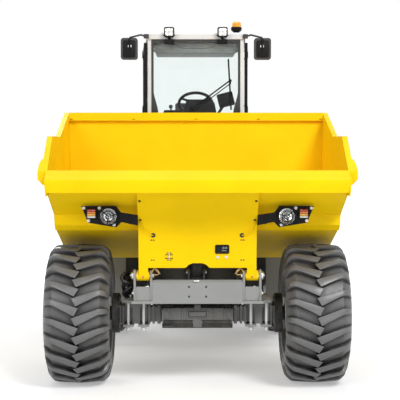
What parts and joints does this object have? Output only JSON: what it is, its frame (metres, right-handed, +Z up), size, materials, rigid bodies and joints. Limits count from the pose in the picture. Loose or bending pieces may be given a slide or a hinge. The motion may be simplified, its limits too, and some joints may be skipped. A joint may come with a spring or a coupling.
{
  "type": "site dumper",
  "caption": "Pivot-steered wheeled site dumper with a closed cab, a front-tipping skip over the front axle, deep-lug tyres, a rear engine hood and a tow jaw.",
  "frame": {"origin": "on the floor under the middle of the machine's bounding box", "axes": "+Z up, -Y the way the machine drives, +X its left-hand side"},
  "size_m": [2.52, 4.75, 3.223],
  "materials": {
    "yellow_paint": "satin",
    "grey_paint": "satin",
    "cab_paint": "satin",
    "rim_paint": "satin",
    "axle_paint": "matte",
    "tyre_rubber": "matte",
    "steel": "satin",
    "chromed_rod": "polished",
    "black_plastic": "matte",
    "seat_cover": "matte",
    "cab_glass": "clear",
    "lamp_glass": "clear",
    "amber_lens": "gloss",
    "red_lens": "gloss",
    "cast_weight": "matte"
  },
  "bodies": {
    "rear_frame": {"rear_chassis": "grey_paint", "steer_pin": "steel", "rear_axle": "axle_paint", "rear_axle_clamps": "steel", "rear_shaft": "axle_paint", "counterweight": "cast_weight", "rear_lamps": "red_lens", "engine": "axle_paint", "side_tanks": "grey_paint", "access_steps": "grey_paint", "mudguards": "black_plastic", "cab_base": "grey_paint", "cab_floor": "cab_paint", "cab_frame": "cab_paint", "cab_roof": "cab_paint", "windscreen": "cab_glass", "rear_windows": "cab_glass", "dashboard": "black_plastic", "display_box": "black_plastic", "steering_wheel": "black_plastic", "operator_seat": "seat_cover", "mirrors": "black_plastic", "wiper": "black_plastic", "work_lights": "black_plastic", "beacon": "amber_lens"},
    "front_frame": {"front_chassis": "grey_paint", "front_pins": "steel", "front_axle": "axle_paint", "front_axle_clamps": "steel", "front_shaft": "axle_paint"},
    "skip": {"skip_floor": "yellow_paint", "skip_beam": "yellow_paint", "skip_back": "yellow_paint", "skip_sides": "yellow_paint", "skip_lip": "yellow_paint", "skip_shield": "yellow_paint", "headlamp_brackets": "black_plastic", "headlamps": "lamp_glass", "indicators": "amber_lens"},
    "tip_barrel": {"tip_barrel": "axle_paint"},
    "tip_rod": {"tip_rod": "chromed_rod"},
    "steer_barrel": {"steer_barrel": "axle_paint"},
    "steer_rod": {"steer_rod": "chromed_rod"},
    "door_left": {"door_left": "black_plastic", "door_glass_left": "cab_glass"},
    "door_right": {"door_right": "black_plastic", "door_glass_right": "cab_glass"},
    "hood": {"hood": "yellow_paint"},
    "wheel_front_left": {"tyre_front_left": "tyre_rubber", "rim_front_left": "rim_paint"},
    "wheel_front_right": {"tyre_front_right": "tyre_rubber", "rim_front_right": "rim_paint"},
    "wheel_rear_left": {"tyre_rear_left": "tyre_rubber", "rim_rear_left": "rim_paint"},
    "wheel_rear_right": {"tyre_rear_right": "tyre_rubber", "rim_rear_right": "rim_paint"}
  },
  "joints": [
    {"name": "steer", "type": "hinge", "parent": "rear_frame", "child": "front_frame", "pos_m": [0, -0.275, 0.775], "axis": [0, 0, 1], "range_deg": [-33, 33]},
    {"name": "tip", "type": "hinge", "parent": "front_frame", "child": "skip", "pos_m": [0, -1.85, 0.934], "axis": [1, 0, 0], "range_deg": [0, 70]},
    {"name": "tip_barrel_swing", "type": "hinge", "parent": "front_frame", "child": "tip_barrel", "pos_m": [0, -0.6, 0.83], "axis": [1, 0, 0], "range_deg": [-0.4715, 0]},
    {"name": "tip_rod_slide", "type": "slide", "parent": "tip_barrel", "child": "tip_rod", "axis": [0, -0.972, 0.235], "range_m": [0, 0.25784]},
    {"name": "steer_barrel_swing", "type": "hinge", "parent": "rear_frame", "child": "steer_barrel", "pos_m": [0.36, 0.275, 0.735], "axis": [0, 0, 1], "range_deg": [-2.4, 2.4]},
    {"name": "steer_rod_slide", "type": "slide", "parent": "steer_barrel", "child": "steer_rod", "axis": [-0.209, -0.9779, 0], "range_m": [-0.1326, 0.1326]},
    {"name": "door_left_swing", "type": "hinge", "parent": "rear_frame", "child": "door_left", "pos_m": [0.545, 0.993, 2.3], "axis": [0, 0, 1], "range_deg": [0, 100]},
    {"name": "door_right_swing", "type": "hinge", "parent": "rear_frame", "child": "door_right", "pos_m": [-0.545, 0.993, 2.3], "axis": [0, 0, -1], "range_deg": [0, 100]},
    {"name": "hood_lift", "type": "hinge", "parent": "rear_frame", "child": "hood", "pos_m": [0, 1.326, 1.966], "axis": [1, 0, 0], "range_deg": [0, 50]},
    {"name": "wheel_front_left_spin", "type": "hinge", "parent": "front_frame", "child": "wheel_front_left", "pos_m": [0.985, -1.575, 0.586], "axis": [1, 0, 0], "continuous": true},
    {"name": "wheel_front_right_spin", "type": "hinge", "parent": "front_frame", "child": "wheel_front_right", "pos_m": [-0.985, -1.575, 0.586], "axis": [1, 0, 0], "continuous": true},
    {"name": "wheel_rear_left_spin", "type": "hinge", "parent": "rear_frame", "child": "wheel_rear_left", "pos_m": [0.985, 1.025, 0.586], "axis": [1, 0, 0], "continuous": true},
    {"name": "wheel_rear_right_spin", "type": "hinge", "parent": "rear_frame", "child": "wheel_rear_right", "pos_m": [-0.985, 1.025, 0.586], "axis": [1, 0, 0], "continuous": true}
  ],
  "couplings": [
    {"joint": "tip_barrel_swing", "follows": "tip", "ratio": -0.002449},
    {"joint": "tip_rod_slide", "follows": "tip", "m_per_rad": 0.20941},
    {"joint": "steer_barrel_swing", "follows": "steer", "ratio": 0.063732},
    {"joint": "steer_rod_slide", "follows": "steer", "m_per_rad": -0.22674}
  ]
}
